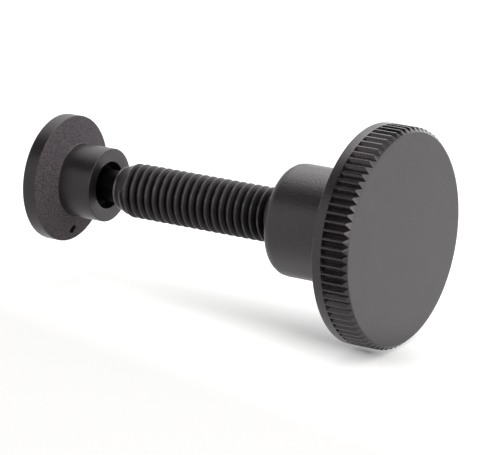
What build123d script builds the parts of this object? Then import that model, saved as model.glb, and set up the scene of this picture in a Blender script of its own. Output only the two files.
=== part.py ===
from build123d import *
import os

# The screw lies along X: the knob is at +X, the pad at -X, and Z is up.
# The origin is on the screw's axis, where the stud leaves the knob's hub.
# Lengths are in millimetres.

# Knob
knob_diameter = 31.0
head_length = 18.3
disc_thickness = 5.4
hub_diameter = 16.0
hub_end_round = 1.5
hub_root_edge = 0.4
rim_edge = 0.2
bore_mouth_diameter = 8.0

# Straight knurl on the knob's rim, open at the front and closed by a plain band at the back
knurl_teeth = 80
groove_depth = 0.7
groove_width = 1.0
plain_band = 1.45
front_chamfer_depth = 0.65
front_chamfer_length = 0.32

# Stud, sized by the crests of an M8 thread
thread_diameter = 7.8
thread_length = 25.8
lead_length = 1.3
pilot_diameter = 6.2
pilot_length = 1.0
neck_diameter = 4.6
ball_diameter = 6.0
ball_offset = 34.5

# Stud's end that is moulded into the knob
anchor_diameter = 7.0
anchor_length = 14.0
anchor_flat_span = 5.6
anchor_flat_start = 7.5
anchor_flat_length = 3.5

# Thrust pad
pad_diameter = 18.2
pad_face_offset = 39.5
flange_rim = 2.25
cone_height = 1.29
collar_diameter = 10.6
collar_length = 5.32
socket_mouth_diameter = 6.8
socket_mouth_depth = 1.75
snap_lip_diameter = 5.7
snap_lip_width = 0.2
snap_lip_lead = 0.7
ball_clearance = 0.05
pad_edge = 0.3
gate_mark_diameter = 1.2
gate_mark_depth = 0.5
gate_mark_radius = 7.6

# Extra reach of a cut past the surface it opens on
overrun = 0.1

os.makedirs("parts", exist_ok=True)

knob_radius = knob_diameter / 2
hub_radius = hub_diameter / 2
thread_radius = thread_diameter / 2
pilot_radius = pilot_diameter / 2
neck_radius = neck_diameter / 2
ball_radius = ball_diameter / 2
anchor_radius = anchor_diameter / 2
mouth_radius = bore_mouth_diameter / 2
disc_back = head_length - disc_thickness

# The stud's anchor, whose form the moulded knob takes on its inside: a plain shank with two flats
# milled across it, which hold it both endways and from turning.
with BuildPart() as anchor:
    with BuildSketch(Plane.YZ):
        Circle(anchor_radius)
    extrude(amount=anchor_length)
    with BuildSketch(Plane.YZ.offset(anchor_flat_start)):
        with Locations((0, anchor_flat_span), (0, -anchor_flat_span)):
            Rectangle(anchor_diameter + overrun, anchor_flat_span)
    extrude(amount=anchor_flat_length, mode=Mode.SUBTRACT)

# The knob: hub and disc in one revolved form, then the knurl, then the seat of the stud.
with BuildPart() as knurled_knob:
    with BuildSketch(Plane.XZ):
        with BuildLine():
            Polyline(
                (0, 0),
                (0, hub_radius),
                (disc_back, hub_radius),
                (disc_back, knob_radius),
                (head_length - front_chamfer_length, knob_radius),
                (head_length, knob_radius - front_chamfer_depth),
                (head_length, 0),
                close=True,
            )
        make_face()
        fillet(vertices().sort_by_distance((0, hub_radius))[0], hub_end_round)
        chamfer(vertices().sort_by_distance((disc_back, hub_radius))[0], hub_root_edge)
        chamfer(vertices().sort_by_distance((disc_back, knob_radius))[0], rim_edge)
    revolve(axis=Axis.X)

    # Each V runs from the plain band out through the front chamfer.
    groove_root = knob_radius - groove_depth
    groove_top = knob_radius + overrun
    groove_top_half = groove_width / 2 * (groove_depth + overrun) / groove_depth
    knurl_length = disc_thickness - plain_band
    with BuildSketch(Plane.YZ.offset(disc_back + plain_band)):
        with PolarLocations(0, knurl_teeth):
            Polygon(
                (groove_root, 0),
                (groove_top, groove_top_half),
                (groove_top, -groove_top_half),
                align=None,
            )
    extrude(amount=knurl_length + overrun, mode=Mode.SUBTRACT)
    add(anchor.part, mode=Mode.SUBTRACT)

    # Countersunk mouth of the seat, a little wider than the stud
    mouth_depth = mouth_radius - anchor_radius
    with BuildSketch(Plane.XZ):
        with BuildLine():
            Polyline(
                (-overrun, 0),
                (-overrun, mouth_radius + overrun),
                (mouth_depth, anchor_radius),
                (mouth_depth, 0),
                close=True,
            )
        make_face()
    revolve(axis=Axis.X, mode=Mode.SUBTRACT)

knurled_knob.part.label = "knurled_knob"
export_step(knurled_knob.part, "parts/knurled_knob.step")

# The stud: threaded length with lead and pilot, then neck, ball and anchor.
lead_start = -thread_length
lead_end = lead_start - lead_length
pilot_end = lead_end - pilot_length
with BuildPart() as threaded_stud:
    with BuildSketch(Plane.XZ):
        with BuildLine():
            Polyline(
                (0, 0),
                (0, thread_radius),
                (lead_start, thread_radius),
                (lead_end, pilot_radius),
                (pilot_end, pilot_radius),
                (pilot_end, 0),
                close=True,
            )
        make_face()
    revolve(axis=Axis.X)

    # Neck and ball in one revolved form
    neck_reach = (ball_radius**2 - neck_radius**2) ** 0.5
    with BuildSketch(Plane.XZ):
        with BuildLine():
            Polyline(
                (-ball_offset - ball_radius, 0),
                (pilot_end, 0),
                (pilot_end, neck_radius),
                (-ball_offset + neck_reach, neck_radius),
            )
            RadiusArc(
                (-ball_offset + neck_reach, neck_radius),
                (-ball_offset - ball_radius, 0),
                -ball_radius,
            )
        make_face()
    revolve(axis=Axis.X)
    add(anchor.part)

threaded_stud.part.label = "threaded_stud"
export_step(threaded_stud.part, "parts/threaded_stud.step")

# The pad: flange, cone and collar outside, snap-in ball socket inside.
pad_radius = pad_diameter / 2
collar_radius = collar_diameter / 2
rim_front = -pad_face_offset + flange_rim
cone_top = rim_front + cone_height
collar_end = cone_top + collar_length
socket_mouth_radius = socket_mouth_diameter / 2
lip_radius = snap_lip_diameter / 2
socket_radius = ball_radius + ball_clearance
mouth_floor = collar_end - socket_mouth_depth
lip_front = mouth_floor - snap_lip_lead
lip_back = lip_front - snap_lip_width
socket_reach = (socket_radius**2 - lip_radius**2) ** 0.5
with BuildPart() as thrust_pad:
    with BuildSketch(Plane.XZ):
        with BuildLine():
            Polyline(
                (-pad_face_offset, 0),
                (-pad_face_offset, pad_radius),
                (rim_front, pad_radius),
                (cone_top, collar_radius),
                (collar_end, collar_radius),
                (collar_end, 0),
                close=True,
            )
        make_face()
        chamfer(vertices().sort_by_distance((-pad_face_offset, pad_radius))[0], pad_edge)
    revolve(axis=Axis.X)

    with BuildSketch(Plane.XZ):
        with BuildLine():
            Polyline(
                (-ball_offset - socket_radius, 0),
                (collar_end + overrun, 0),
                (collar_end + overrun, socket_mouth_radius),
                (mouth_floor, socket_mouth_radius),
                (lip_front, lip_radius),
                (lip_back, lip_radius),
                (-ball_offset + socket_reach, lip_radius),
            )
            RadiusArc(
                (-ball_offset + socket_reach, lip_radius),
                (-ball_offset - socket_radius, 0),
                -socket_radius,
            )
        make_face()
    revolve(axis=Axis.X, mode=Mode.SUBTRACT)

    # Round gate mark in the cone, on the underside
    cone_run = pad_radius - collar_radius
    mark_share = (gate_mark_radius - collar_radius) / cone_run
    mark_point = (cone_top - cone_height * mark_share, 0, -gate_mark_radius)
    cone_normal = Vector(cone_run, 0, -cone_height)
    with BuildSketch(Plane(origin=mark_point, x_dir=(0, 1, 0), z_dir=cone_normal)):
        Circle(gate_mark_diameter / 2)
    extrude(amount=-gate_mark_depth, both=True, mode=Mode.SUBTRACT)

thrust_pad.part.label = "thrust_pad"
export_step(thrust_pad.part, "parts/thrust_pad.step")
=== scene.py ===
import bpy
import bmesh
import math
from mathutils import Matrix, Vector


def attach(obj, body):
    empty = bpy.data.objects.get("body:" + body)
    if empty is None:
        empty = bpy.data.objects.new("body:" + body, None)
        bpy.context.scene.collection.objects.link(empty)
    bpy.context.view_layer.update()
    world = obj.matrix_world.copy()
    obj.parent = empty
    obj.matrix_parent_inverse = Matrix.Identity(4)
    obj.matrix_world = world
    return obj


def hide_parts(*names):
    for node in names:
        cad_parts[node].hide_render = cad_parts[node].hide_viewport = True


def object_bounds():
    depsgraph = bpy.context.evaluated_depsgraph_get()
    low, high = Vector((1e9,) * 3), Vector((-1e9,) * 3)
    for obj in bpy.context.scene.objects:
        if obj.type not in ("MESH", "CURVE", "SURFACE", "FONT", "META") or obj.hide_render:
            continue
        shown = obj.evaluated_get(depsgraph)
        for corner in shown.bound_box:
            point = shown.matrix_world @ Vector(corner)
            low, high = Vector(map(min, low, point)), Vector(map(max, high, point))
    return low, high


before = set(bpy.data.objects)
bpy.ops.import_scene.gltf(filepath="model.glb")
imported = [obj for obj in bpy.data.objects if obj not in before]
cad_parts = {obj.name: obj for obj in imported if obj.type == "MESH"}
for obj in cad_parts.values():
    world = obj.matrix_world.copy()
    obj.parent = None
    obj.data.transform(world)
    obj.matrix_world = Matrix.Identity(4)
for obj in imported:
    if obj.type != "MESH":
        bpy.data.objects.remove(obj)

cadBox = [list(corner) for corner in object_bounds()]  # the solids' box, before anything is added
mm = 0.001
hair = 0.01  # mm, the slack where two places are compared


def hexColor(text):  # sRGB hex to the linear values that sockets take
    parts = [int(text[i:i + 2], 16) / 255 for i in (1, 3, 5)]
    return tuple(c / 12.92 if c <= 0.04045 else ((c + 0.055) / 1.055) ** 2.4 for c in parts) + (1.0,)


def addNode(tree, kind, settings=None, links=None):  # one node with its settings and what feeds it
    node = tree.nodes.new(kind)
    for name, value in (settings or {}).items():
        if isinstance(name, int) or name in node.inputs:
            node.inputs[name].default_value = value
        else:
            setattr(node, name, value)
    for name, source in (links or {}).items():
        tree.links.new(source, node.inputs[name])
    return node


def roundCorners(points, steps=3):  # (x, r, edge) in mm; every corner with an edge becomes an arc
    mostOfSide = 0.49  # what an arc may take of each side that meets there
    tiny = 1e-6
    out = []
    for i, (x, r, edge) in enumerate(points):
        if edge == 0:
            out.append((x, r))
            continue
        here = Vector((x, r))
        back = Vector(points[i - 1][:2]) - here
        ahead = Vector(points[i + 1][:2]) - here
        alone = min(back.length, ahead.length) <= tiny  # two points fall together, so there is no corner
        turn = 0.0 if alone else math.pi - back.angle(ahead)
        reach = min(edge * math.tan(turn / 2), mostOfSide * back.length, mostOfSide * ahead.length)
        first = here + back.normalized() * reach
        last = here + ahead.normalized() * reach
        for k in range(steps + 1):
            t = k / steps
            p = first * (1 - t) ** 2 + here * (2 * t * (1 - t)) + last * t ** 2
            out.append((p.x, p.y))
    return out


def onAxis(x, r, a):  # a point at x along the screw, r from its axis and turned by a, from mm to metres
    return (x * mm, r * mm * math.cos(a), r * mm * math.sin(a))


def skinRings(bm, rings):  # joins each closed ring of points to the next
    for lower, upper in zip(rings, rings[1:]):
        for j in range(len(lower)):
            k = (j + 1) % len(lower)
            bm.faces.new((lower[j], lower[k], upper[k], upper[j]))


def finishMesh(name, bm):
    weld, sliver = 1e-7, 1e-8  # metres
    bmesh.ops.remove_doubles(bm, verts=bm.verts, dist=weld)
    bmesh.ops.dissolve_degenerate(bm, edges=bm.edges, dist=sliver)
    bmesh.ops.recalc_face_normals(bm, faces=bm.faces)
    for face in bm.faces:
        face.smooth = True
    mesh = bpy.data.meshes.new(name)
    bm.to_mesh(mesh)
    bm.free()
    piece = bpy.data.objects.new(name, mesh)
    bpy.context.scene.collection.objects.link(piece)
    return piece


def paint(piece, name, share):  # a share from 0 to 1 at each point, from its x and radius in mm
    layer = piece.data.attributes.new(name, "FLOAT", "POINT")
    for point, vertex in zip(layer.data, piece.data.vertices):
        point.value = share(vertex.co.x / mm, math.hypot(vertex.co.y, vertex.co.z) / mm)


def dress(piece, body, node, material):
    piece.data.materials.append(material)
    weighted = piece.modifiers.new("flat faces stay flat", "WEIGHTED_NORMAL")
    weighted.keep_sharp = True
    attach(piece, body)
    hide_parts(node)


# Knob: moulded in one piece, a flat disc with a straight knurl on a round hub; in mm, its turn in degrees
knob = {
    "radius": 15.5, "face": 18.3, "discBack": 12.9, "hubRadius": 8.0, "hubEndRound": 1.5,
    "hubRootRound": 0.6, "rimRound": 0.2, "teeth": 80, "grooveDepth": 0.6, "grooveWidth": 1.0,
    "plainBand": 1.45, "chamferDepth": 0.6, "chamferLength": 0.64, "crestRound": 0.05, "grooveRound": 0.03,
    "grooveEndRound": 0.02, "bandEdge": 0.04, "faceEdge": 0.03, "knurlTurn": -1.35, "boreRadius": 3.92,
    "boreDepth": 1.4, "boreEdge": 0.08, "seatRadius": 3.5, "seatDepth": 14.0,
    "faceRings": (0, 4.0, 9.0, 13.0, 14.4), "bandRing": 0.15, "backRings": (0.6, 1.4), "grainStop": 0.1,
}


def buildKnob(k):
    radius, face, back = k["radius"], k["face"], k["discBack"]
    halfPitch = math.pi * radius / k["teeth"]
    halfWidth = k["grooveWidth"] / 2
    tooth = roundCorners([
        (-halfPitch, radius, 0),
        (-halfWidth, radius, k["crestRound"]),
        (0, radius - k["grooveDepth"], k["grooveRound"]),
        (halfWidth, radius, k["crestRound"]),
        (halfPitch, radius, 0),
    ])[:-1]
    turn, pitch = math.radians(k["knurlTurn"]), 2 * math.pi / k["teeth"]
    columns = [(turn + n * pitch + t / radius, r) for n in range(k["teeth"]) for t, r in tooth]
    knurlBack = back + k["plainBand"]
    chamferFoot = radius - k["chamferDepth"]
    nearRim, nearHub = k["backRings"]  # these keep the disc's back flat between its rounded edges
    bm = bmesh.new()
    lines = []
    for angle, r in columns:
        rise = max(0.0, r - chamferFoot)
        profile = roundCorners([(face, ring, 0) for ring in k["faceRings"]] + [
            (face, min(r, chamferFoot), k["faceEdge"]),
            (face - k["chamferLength"] * rise / k["chamferDepth"], r, k["faceEdge"]),
            (knurlBack, r, k["grooveEndRound"]),
            (knurlBack, radius, k["bandEdge"]),
            (knurlBack - k["bandRing"], radius, 0),
            (back, radius, k["rimRound"]),
            (back, radius - nearRim, 0),
            (back, k["hubRadius"] + nearHub, 0),
            (back, k["hubRadius"], k["hubRootRound"]),
            (0, k["hubRadius"], k["hubEndRound"]),
            (0, k["boreRadius"], k["boreEdge"]),
            (k["boreDepth"], k["boreRadius"], 0), (k["boreDepth"], k["seatRadius"], 0),
            (k["seatDepth"], k["seatRadius"], 0), (k["seatDepth"], 0, 0),
        ], steps=4)
        lines.append([bm.verts.new(onAxis(x, rr, angle)) for x, rr in profile])
    skinRings(bm, list(zip(*lines)))
    piece = finishMesh("knurledKnob", bm)
    grainEnd = knurlBack - k["grainStop"]  # all behind the knurl has a fine grain
    paint(piece, "eroded", lambda x, r: 1.0 if x < grainEnd else 0.0)
    return piece


# Stud: rolled right-hand thread, a plain lead at its tip, then neck and ball; in mm. The first groove opens
# as a thin wedge on the near side, and its start and run-in are degrees along the helix
stud = {
    "crestRadius": 3.9, "depth": 0.7, "pitch": 1.25, "crestFlat": 0.24, "rootFlat": 0.14,
    "crestRound": 0.26, "rootRound": 0.1, "crestOnTop": -24.74, "threadEnd": -25.8, "leadEnd": -27.7,
    "pilotRadius": 3.1, "pilotEnd": -28.1, "pilotEdge": 0.15, "neckRadius": 2.3, "neckRoot": 0.2,
    "ballRadius": 3.0, "ballRoot": 0.15, "ballCentre": -34.5, "ballRings": 24, "runoutStart": 0.3,
    "runoutEnd": 1.2, "anchorRadius": 3.5, "anchorEnd": 14.0, "stepsRound": 96, "grooveStart": -552,
    "runIn": 30, "crestWear": 0.7, "leadRubToShadeDepth": 0.2,
}


def buildStud(s):
    crest, pitch, steps = s["crestRadius"], s["pitch"], s["stepsRound"]
    root = crest - s["depth"]
    c, f = s["crestFlat"] / 2, pitch / 2 - s["rootFlat"] / 2
    wave = roundCorners([  # one pitch from root to root, offsets along the axis from the crest
        (-pitch / 2, root, 0), (-f, root, s["rootRound"]), (-c, crest, s["crestRound"]),
        (c, crest, s["crestRound"]), (f, root, s["rootRound"]), (pitch / 2, root, 0),
    ], steps=4)[:-1]
    across = len(wave)
    low, high = s["leadEnd"] - 2 * hair, s["runoutEnd"]
    leadSlope = (crest - s["pilotRadius"]) / (s["threadEnd"] - s["leadEnd"])
    runoutSlope = (crest - s["pilotRadius"]) / (s["runoutEnd"] - s["runoutStart"])
    bm = bmesh.new()
    start = s["crestOnTop"] - pitch / 4  # crest position at angle 0
    turns = range(math.floor((low - start) / pitch) - 1, math.ceil((high - start) / pitch) + 1)
    grid = {}

    def envelope(x):  # what the crests reach: less on the lead and where the thread runs out
        lead = s["pilotRadius"] + (x - s["leadEnd"]) * leadSlope
        runout = crest - (x - s["runoutStart"]) * runoutSlope
        return max(s["pilotRadius"], min(crest, lead, runout))

    for n in turns:
        for j, (offset, height) in enumerate(wave):
            for i in range(steps):
                crestAt = start + (n + i / steps) * pitch
                x = min(max(crestAt + offset, low), high)
                side = 90 if offset >= 0 else -270  # the groove after this crest, or the one a turn before
                along = (crestAt - s["crestOnTop"]) / pitch * 360 + side
                opened = min(1.0, max(0.0, (along - s["grooveStart"]) / s["runIn"]))
                r = max(s["pilotRadius"], envelope(x) - opened * max(0.0, envelope(x) - height))
                grid[(n - turns[0]) * across + j, i] = bm.verts.new(onAxis(x, r, 2 * math.pi * i / steps))
    for j in range(len(turns) * across - 1):
        for i in range(steps):
            k, up = (i + 1) % steps, across if i == steps - 1 else 0  # a turn on, a line is a pitch further
            corners = [(j, i), (j + up, k), (j + 1 + up, k), (j + 1, i)]
            if all(key in grid for key in corners):
                bm.faces.new([grid[key] for key in corners])

    inside = [(s["runoutEnd"], s["pilotRadius"], 0), (s["runoutEnd"], s["anchorRadius"], 0),
              (s["anchorEnd"], s["anchorRadius"], 0), (s["anchorEnd"], 0, 0)]
    reach = math.sqrt(s["ballRadius"] ** 2 - s["neckRadius"] ** 2)
    tip = [(low, s["pilotRadius"], 0), (s["pilotEnd"], s["pilotRadius"], s["pilotEdge"]),
           (s["pilotEnd"], s["neckRadius"], s["neckRoot"]),
           (s["ballCentre"] + reach, s["neckRadius"], s["ballRoot"])]
    first = math.atan2(s["neckRadius"], reach)
    for n in range(1, s["ballRings"] + 1):
        t = first + (math.pi - first) * n / s["ballRings"]
        tip.append((s["ballCentre"] + s["ballRadius"] * math.cos(t), s["ballRadius"] * math.sin(t), 0))
    for profile in (inside, tip):
        skinRings(bm, [[bm.verts.new(onAxis(x, r, 2 * math.pi * i / steps)) for i in range(steps)]
                       for x, r in roundCorners(profile)])
    piece = finishMesh("threadedStud", bm)

    def wearAndGrooveShade(x, r):  # crests are rubbed and the lead most of all; the grooves, the neck and the lead's first groove get a painted-shade black
        if x < s["pilotEnd"] + hair:
            return 0.0
        # the lead's share falls fast with depth, so its first groove shows as a painted-shade wedge
        most, depth = (s["crestWear"], s["depth"]) if x > s["threadEnd"] else (1.0, s["leadRubToShadeDepth"])
        return most * min(1.0, max(0.0, 1 - (envelope(x) - r) / depth))

    paint(piece, "wearAndGrooveShade", wearAndGrooveShade)
    return piece


# Pad: flange, cone and collar, snapped over the ball, with a round gate mark low on the cone; in mm, its
# angles in degrees
pad = {
    "radius": 9.1, "face": -39.5, "faceEdge": 0.3, "faceRings": (0, 4.0, 8.3), "rimFront": -37.25,
    "rimEdge": 0.12, "coneTop": -35.96, "collarRadius": 5.3, "collarRoot": 0.2, "collarEnd": -30.64,
    "collarEdge": 0.12, "mouthRadius": 3.4, "mouthEdge": 0.12, "mouthFloor": -32.39, "mouthRoot": 0.1,
    "lipRadius": 2.85, "lipFront": -33.09, "lipEdge": 0.1, "lipBack": -33.29, "lipRoot": 0.05,
    "socketRadius": 3.05, "socketRings": 16, "ballCentre": -34.5, "columns": 192, "edgeRing": 0.3,
    "gateRadius": 7.5, "gateDiameter": 1.3, "gateDepth": 0.9, "gateFlare": 0.15, "gateFloorRound": 0.15,
    "gateRim": 0.1, "gateTurn": 4.0, "gateSides": 32, "sharpAngle": 40.0, "grainDepth": 0.08,
    "grainTop": 0.1, "grainRoot": 0.05,
}


def buildPad(p):
    coneRun, coneRise = p["radius"] - p["collarRadius"], p["rimFront"] - p["coneTop"]
    profile = roundCorners([(p["face"], ring, 0) for ring in p["faceRings"]] + [
        (p["face"], p["radius"], p["faceEdge"]),
        (p["rimFront"] - p["edgeRing"], p["radius"], 0),
        (p["rimFront"], p["radius"], p["rimEdge"]),
        (p["coneTop"], p["collarRadius"], p["collarRoot"]),
        (p["coneTop"] + p["edgeRing"], p["collarRadius"], 0),
        (p["collarEnd"], p["collarRadius"], p["collarEdge"]),
        (p["collarEnd"], p["mouthRadius"], p["mouthEdge"]),
        (p["mouthFloor"], p["mouthRadius"], p["mouthRoot"]),
        (p["lipFront"], p["lipRadius"], p["lipEdge"]), (p["lipBack"], p["lipRadius"], p["lipRoot"]),
        (p["ballCentre"] + math.sqrt(p["socketRadius"] ** 2 - p["lipRadius"] ** 2), p["lipRadius"], 0),
    ])
    first = math.asin(p["lipRadius"] / p["socketRadius"])
    for n in range(1, p["socketRings"] + 1):
        t = first + (math.pi - first) * n / p["socketRings"]
        profile.append((p["ballCentre"] + p["socketRadius"] * math.cos(t), p["socketRadius"] * math.sin(t)))
    angles = [2 * math.pi * n / p["columns"] for n in range(p["columns"])]
    bm = bmesh.new()
    skinRings(bm, [[bm.verts.new(onAxis(x, r, a)) for a in angles] for x, r in profile])
    piece = finishMesh("thrustPad", bm)

    # the gate mark is a round pit with a flared mouth, cut square to the cone
    slope = math.atan2(coneRise, coneRun)
    share = (p["gateRadius"] - p["collarRadius"]) / coneRun
    about = math.radians(p["gateTurn"])  # from straight below, towards the front
    under = Vector((0, -math.sin(about), -math.cos(about)))
    centre = (Vector((p["coneTop"] + coneRise * share, 0, 0)) + under * p["gateRadius"]) * mm
    outward = Vector((math.cos(slope), 0, 0)) - under * math.sin(slope)
    across = outward.cross(under).normalized()
    half, depth, flare = p["gateDiameter"] / 2, p["gateDepth"], p["gateFlare"]
    wide = half + 2 * flare
    pit = roundCorners([(-depth, 0, 0), (-depth, half, p["gateFloorRound"]), (-flare, half, p["gateRim"]),
                        (flare, wide, 0), (depth, wide, 0), (depth, 0, 0)])
    bm = bmesh.new()
    rings = []
    for out, r in pit:
        ring = []
        for n in range(p["gateSides"]):
            a = 2 * math.pi * n / p["gateSides"]
            side = across * math.cos(a) + outward.cross(across) * math.sin(a)
            ring.append(bm.verts.new(centre + (outward * out + side * r) * mm))
        rings.append(ring)
    skinRings(bm, rings)
    cutter = finishMesh("gateCutter", bm)
    cut = piece.modifiers.new("gate mark", "BOOLEAN")
    cut.object = cutter
    cut.operation = "DIFFERENCE"
    cut.solver = "EXACT"
    cutMesh = bpy.data.meshes.new_from_object(piece.evaluated_get(bpy.context.evaluated_depsgraph_get()))
    piece.modifiers.remove(cut)
    piece.data = cutMesh
    bpy.data.objects.remove(cutter)
    cutMesh.set_sharp_from_angle(angle=math.radians(p["sharpAngle"]))

    def onCone(x, r):  # not in the gate mark, which lies deeper
        skin = p["coneTop"] + (r - p["collarRadius"]) * math.tan(slope) - p["grainDepth"]
        onSlope = skin < x < p["coneTop"] + p["grainTop"]
        return 1.0 if onSlope and r > p["collarRadius"] + p["grainRoot"] else 0.0

    paint(piece, "eroded", onCone)
    return piece


# Glass-filled polyamide: charcoal with a soft sheen, never quite even in tone, because the fibres lie near
# the skin in faint clouds. Where the tool was spark-eroded the skin is duller, paler and speckled
def mouldedPolyamide(name, look):
    material = bpy.data.materials.new(name)
    material.use_nodes = True
    tree = material.node_tree
    shader = tree.nodes["Principled BSDF"]
    shader.inputs["IOR"].default_value = look["ior"]
    shader.inputs["Specular Tint"].default_value = hexColor(look["sheen"])
    where = addNode(tree, "ShaderNodeTexCoord").outputs["Object"]
    eroded = addNode(tree, "ShaderNodeAttribute", {"attribute_name": "eroded"}).outputs["Fac"]
    clouds = addNode(tree, "ShaderNodeTexNoise", {"Scale": 1 / (look["cloudSize"] * mm), "Detail": 4.0},
                     {"Vector": where})
    grain = addNode(tree, "ShaderNodeTexNoise", {"Scale": 1 / (look["grainSize"] * mm), "Detail": 2.0},
                    {"Vector": where})
    darkAt, lightAt = 0.3, 0.7  # most of what a noise gives lies between these
    tones = []
    for pattern, dark, light in ((clouds, "dark", "light"), (grain, "erodedDark", "erodedLight")):
        ramp = addNode(tree, "ShaderNodeValToRGB", None, {"Fac": pattern.outputs["Fac"]})
        ramp.color_ramp.elements[0].position = darkAt
        ramp.color_ramp.elements[0].color = hexColor(look[dark])
        ramp.color_ramp.elements[1].position = lightAt
        ramp.color_ramp.elements[1].color = hexColor(look[light])
        tones.append(ramp.outputs["Color"])
    tone = addNode(tree, "ShaderNodeMix", {"data_type": "RGBA"}, {0: eroded, 6: tones[0], 7: tones[1]})
    tree.links.new(tone.outputs[2], shader.inputs["Base Color"])
    dull = addNode(tree, "ShaderNodeMapRange",
                   {"To Min": look["roughness"], "To Max": look["erodedRoughness"]}, {"Value": eroded})
    rough = addNode(tree, "ShaderNodeMath", {"operation": "MULTIPLY_ADD", 1: look["roughSpread"]},
                    {0: clouds.outputs["Fac"], 2: dull.outputs["Result"]})
    tree.links.new(rough.outputs[0], shader.inputs["Roughness"])
    relief = addNode(tree, "ShaderNodeMapRange",
                     {"To Min": look["bump"], "To Max": look["erodedBump"]}, {"Value": eroded})
    bump = addNode(tree, "ShaderNodeBump", {"Distance": look["grainDepth"] * mm},
                   {"Strength": relief.outputs["Result"], "Height": grain.outputs["Fac"]})
    tree.links.new(bump.outputs["Normal"], shader.inputs["Normal"])
    return material


# the knob's real grain is about 0.05 mm wide, drawn coarser to show
knobLook = {
    "dark": "#0a0808", "light": "#242122", "erodedDark": "#181616", "erodedLight": "#272425", "ior": 1.57,
    "sheen": "#fff5f9", "roughness": 0.18, "erodedRoughness": 0.31, "roughSpread": 0.06, "cloudSize": 2.5,
    "grainSize": 0.3, "grainDepth": 0.035, "bump": 0.8, "erodedBump": 1.0,
}
# the pad's grain is coarse enough to see as speckle on its cone, the rest of it is smooth
padLook = {
    "dark": "#171515", "light": "#221f20", "erodedDark": "#2f2a2d", "erodedLight": "#625c60", "ior": 1.5,
    "sheen": "#fff5f9", "roughness": 0.3, "erodedRoughness": 0.85, "roughSpread": 0.06, "cloudSize": 2.0,
    "grainSize": 0.26, "grainDepth": 0.05, "bump": 0.2, "erodedBump": 1.0,
}


# Steel, rolled and then blackened in a hot salt bath: a thin black oxide with a dull oily shine, a shade
# lighter where crests rub, and lightest on the lead, which enters a hole first. The deep black in the roots
# is painted shade
def blackenedSteel(name, look):
    material = bpy.data.materials.new(name)
    material.use_nodes = True
    tree = material.node_tree
    shader = tree.nodes["Principled BSDF"]
    shader.inputs["Metallic"].default_value = look["metallic"]
    where = addNode(tree, "ShaderNodeTexCoord").outputs["Object"]
    # the share lightens rubbed crests and darkens grooves and the neck as painted shade
    wearAndShade = addNode(tree, "ShaderNodeAttribute", {"attribute_name": "wearAndGrooveShade"}).outputs["Fac"]
    stain = addNode(tree, "ShaderNodeTexNoise", {"Scale": 1 / (look["stainSize"] * mm), "Detail": 5.0},
                    {"Vector": where})
    stainWearShade = addNode(tree, "ShaderNodeMath", {"operation": "MULTIPLY_ADD", 1: look["stainShare"]},
                     {0: stain.outputs["Fac"], 2: wearAndShade})
    tone = addNode(tree, "ShaderNodeValToRGB", None, {"Fac": stainWearShade.outputs[0]})
    tone.color_ramp.elements[0].position = 0.5 * look["stainShare"]  # unworn, the painted-shade black of grooves and neck, with the noise at its middle
    tone.color_ramp.elements[0].color = hexColor(look["dark"])
    tone.color_ramp.elements[1].position = look["lightAt"]
    tone.color_ramp.elements[1].color = hexColor(look["light"])
    tone.color_ramp.elements.new(1.0).color = hexColor(look["rubbed"])
    tree.links.new(tone.outputs["Color"], shader.inputs["Base Color"])
    rough = addNode(tree, "ShaderNodeMapRange",
                    {"To Min": look["rootRoughness"], "To Max": look["crestRoughness"]},
                    {"Value": stainWearShade.outputs[0]})
    tree.links.new(rough.outputs["Result"], shader.inputs["Roughness"])
    pits = addNode(tree, "ShaderNodeTexNoise", {"Scale": 1 / (look["pitSize"] * mm), "Detail": 2.0},
                   {"Vector": where})
    bump = addNode(tree, "ShaderNodeBump", {"Strength": look["pitBump"], "Distance": look["pitDepth"] * mm},
                   {"Height": pits.outputs["Fac"]})
    tree.links.new(bump.outputs["Normal"], shader.inputs["Normal"])
    return material


# dark is the painted-shade black of grooves and neck; light and rubbed are the worn crests and the lead
studLook = {
    "dark": "#121111", "light": "#3c393b", "rubbed": "#6c6769", "lightAt": 0.85, "metallic": 1.0,
    "rootRoughness": 0.5, "crestRoughness": 0.36, "stainSize": 1.2, "stainShare": 0.3, "pitSize": 0.15,
    "pitDepth": 0.006, "pitBump": 0.5,
}

dress(buildKnob(knob), "screw", "knurled_knob",
      mouldedPolyamide("mouldedPolyamideFineMatt", knobLook))
print("knob made")
dress(buildStud(stud), "screw", "threaded_stud",
      blackenedSteel("blackOxideRolledSteel", studLook))
print("stud made")
dress(buildPad(pad), "pad", "thrust_pad",
      mouldedPolyamide("mouldedPolyamideErodedGrain", padLook))
print("pad made")


# Studio: a matt grey floor under a white glow that the eye and gloss see, with a painted shadow in the glow
# under the screw and a painted brightening back towards a lit backdrop; white air, soft lamps above and at
# the front right, lit sheets to the left, behind and to the right, and a black card over the front, seen in
# gloss only, that paints a dark reflection on the upper front of round walls. The floor's lengths are in mm,
# the card's in metres
# floor is the grey that the lamps light; the lifts are the glow, low in its painted shadow and high at the
# back
studio = {
    "floor": "#b6b5b3", "foot": (15.5, -4.5), "footTurn": -12.0, "footLift": 0.09, "liftEnd": 57.0,
    "liftAcross": 4.0, "liftLeft": 0.6, "liftRight": 2.5, "frontLift": 0.55, "backLift": 1.0, "front": -28.0,
    "back": 8.0, "backAngle": 75.0, "ambient": 0.35, "floorSize": 4000.0, "white": "#ffffff",
    "card": "#0a0a0a", "cardRoughness": 0.9, "cardPlace": (-0.35, -0.24, 0.5), "cardSize": (1.0, 0.44),
}
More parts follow.
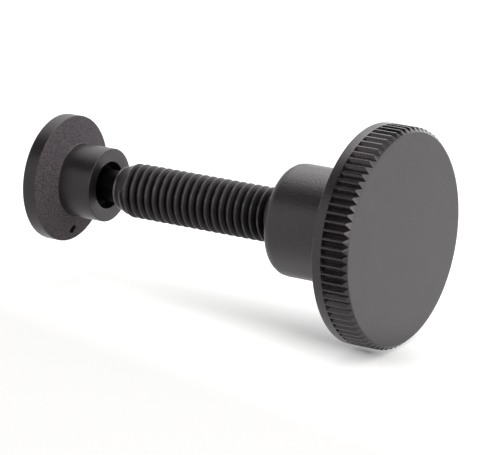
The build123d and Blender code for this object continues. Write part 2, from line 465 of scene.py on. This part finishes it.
# in metres, degrees from facing down, and watts; a sheet shows in gloss only
lamps = {
    "leftSheet": {"place": (-0.19, 0.51, 0.5), "turn": (0, 0, 20), "size": (0.5, 0.8), "power": 2.75,
                  "sheet": True},
    "backSheet": {"place": (0.25, 1.0, 0.3), "turn": (-90, 0, 0), "size": (1.6, 0.6), "power": 4.5,
                  "sheet": True},
    "rightSheet": {"place": (0.6, -0.2, 0.42), "turn": (0, 90, 0), "size": (0.9, 0.9), "power": 4.4,
                   "sheet": True},
    "topSoftbox": {"place": (0.12, -0.12, 0.6), "turn": (0, 0, 0), "size": (0.6, 0.6), "power": 2.6,
                   "sheet": False},
    "sideFill": {"place": (0.45, -0.45, 0.3), "turn": (0, 65, -45), "size": (0.5, 0.4), "power": 1.1,
                 "sheet": False},
}


def plane(name, place, size, material):
    bm = bmesh.new()
    w, h = size[0] / 2, size[1] / 2
    bm.faces.new([bm.verts.new((x, y, 0)) for x, y in ((-w, -h), (w, -h), (w, h), (-w, h))])
    mesh = bpy.data.meshes.new(name)
    bm.to_mesh(mesh)
    bm.free()
    mesh.materials.append(material)
    sheet = bpy.data.objects.new(name, mesh)
    sheet.location = place
    bpy.context.scene.collection.objects.link(sheet)
    return sheet


def seenRays(tree):  # 1 for what the eye, gloss or a clear piece sees, 0 for light that falls on things
    rays = addNode(tree, "ShaderNodeLightPath")
    seen = addNode(tree, "ShaderNodeMath", {"operation": "MAXIMUM"},
                   {0: rays.outputs["Is Camera Ray"], 1: rays.outputs["Is Glossy Ray"]})
    return addNode(tree, "ShaderNodeMath", {"operation": "MAXIMUM"},
                   {0: seen.outputs[0], 1: rays.outputs["Is Transmission Ray"]}).outputs[0]


# Matt paper that takes the lamps' shadow, under a glow for the eye and gloss; the glow holds a painted
# shadow where the knob stands and along the screw, and a painted brightening towards the lit backdrop
paper = bpy.data.materials.new("whitePaper")
paper.use_nodes = True
tree = paper.node_tree
tree.nodes.clear()
(footX, footY), left, right = studio["foot"], studio["liftLeft"], studio["liftRight"]
where = addNode(tree, "ShaderNodeTexCoord").outputs["Object"]
fromFoot = addNode(tree, "ShaderNodeMapping", {  # the glow is dimmest where the knob stands and along the screw: painted shadow
    "vector_type": "TEXTURE", "Location": (footX * mm, footY * mm, 0.0),
    "Rotation": (0.0, 0.0, math.radians(studio["footTurn"])),
    "Scale": (2 / (right + left), 1 / studio["liftAcross"], 1.0)}, {"Vector": where})
eitherSide = addNode(tree, "ShaderNodeVectorMath", {"operation": "ABSOLUTE"},
                     {0: fromFoot.outputs["Vector"]})
uneven = addNode(tree, "ShaderNodeVectorMath", {  # the painted shadow fades faster past the knob than towards the pad
    "operation": "MULTIPLY_ADD", 1: ((right - left) / (right + left), 0.0, 0.0)},
    {0: eitherSide.outputs["Vector"], 2: fromFoot.outputs["Vector"]})
away = addNode(tree, "ShaderNodeVectorMath", {"operation": "LENGTH"}, {0: uneven.outputs["Vector"]})
steep = addNode(tree, "ShaderNodeMath", {"operation": "SQRT"}, {0: away.outputs["Value"]})
near = addNode(tree, "ShaderNodeMapRange", {
    "From Max": math.sqrt(studio["liftEnd"] * mm), "To Min": studio["footLift"],
    "To Max": studio["backLift"]}, {"Value": steep.outputs[0]})
toBack = math.radians(studio["backAngle"])  # from +X; the backdrop stands behind and to the right, and the glow's painted brightening grows towards it
depth = addNode(tree, "ShaderNodeVectorMath", {
    "operation": "DOT_PRODUCT", 1: (math.cos(toBack), math.sin(toBack), 0.0)}, {0: where})
far = addNode(tree, "ShaderNodeMapRange", {
    "From Min": studio["front"] * mm, "From Max": studio["back"] * mm,
    "To Min": studio["frontLift"], "To Max": studio["backLift"]}, {"Value": depth.outputs["Value"]})
paintedShadowGlow = addNode(tree, "ShaderNodeMath", {"operation": "MINIMUM"},
                {0: near.outputs["Result"], 1: far.outputs["Result"]})
lift = addNode(tree, "ShaderNodeMath", {"operation": "MULTIPLY"}, {0: seenRays(tree), 1: paintedShadowGlow.outputs[0]})
matt = addNode(tree, "ShaderNodeBsdfDiffuse", {"Color": hexColor(studio["floor"])})
glow = addNode(tree, "ShaderNodeEmission", {"Color": hexColor(studio["white"])},
               {"Strength": lift.outputs[0]})
both = addNode(tree, "ShaderNodeAddShader", None, {0: matt.outputs[0], 1: glow.outputs[0]})
addNode(tree, "ShaderNodeOutputMaterial", None, {"Surface": both.outputs[0]})
plane("floor", (0, 0, cadBox[0][2]), (studio["floorSize"] * mm, studio["floorSize"] * mm), paper)

black = bpy.data.materials.new("blackCard")
black.use_nodes = True
cardShader = black.node_tree.nodes["Principled BSDF"]
cardShader.inputs["Base Color"].default_value = hexColor(studio["card"])
cardShader.inputs["Roughness"].default_value = studio["cardRoughness"]
# seen in gloss only, the card paints a dark reflection on the upper front of round walls
card = plane("frontCardDarkReflection", studio["cardPlace"], studio["cardSize"], black)
card.visible_camera = False
card.visible_diffuse = False
card.visible_shadow = False

world = bpy.data.worlds.new("studioAir")
bpy.context.scene.world = world
world.use_nodes = True
tree = world.node_tree
tree.nodes.clear()
level = addNode(tree, "ShaderNodeMapRange", {"To Min": studio["ambient"], "To Max": 1.0},
                {"Value": seenRays(tree)})
air = addNode(tree, "ShaderNodeBackground", {"Color": hexColor(studio["white"])},
              {"Strength": level.outputs["Result"]})
addNode(tree, "ShaderNodeOutputWorld", None, {"Surface": air.outputs[0]})

for name, lamp in lamps.items():
    light = bpy.data.lights.new(name, "AREA")
    light.shape = "RECTANGLE"
    light.size, light.size_y = lamp["size"]
    light.energy = lamp["power"]
    stand = bpy.data.objects.new(name, light)
    stand.location = lamp["place"]
    stand.rotation_euler = [math.radians(a) for a in lamp["turn"]]
    stand.visible_camera = False
    stand.visible_diffuse = not lamp["sheet"]
    bpy.context.scene.collection.objects.link(stand)
print("studio set")

# Camera: a long lens from the knob's side, slightly above
shot = {"place": (0.2949, -0.4703, 0.1680), "azimuth": 32.68, "elevation": 16.96, "lens": 300.0,
        "sensor": 36.0, "clipStart": 0.01}
az, el = math.radians(shot["azimuth"]), math.radians(shot["elevation"])
aim = Vector((-math.sin(az) * math.cos(el), math.cos(az) * math.cos(el), -math.sin(el)))
lens = bpy.data.cameras.new("photoCamera")
lens.lens = shot["lens"]
lens.sensor_width = shot["sensor"]
lens.clip_start = shot["clipStart"]
camera = bpy.data.objects.new("photoCamera", lens)
camera.location = shot["place"]
camera.rotation_euler = aim.to_track_quat("-Z", "Y").to_euler()
bpy.context.scene.collection.objects.link(camera)
bpy.context.scene.camera = camera
bpy.context.scene.view_settings.view_transform = "Standard"
print("camera set")
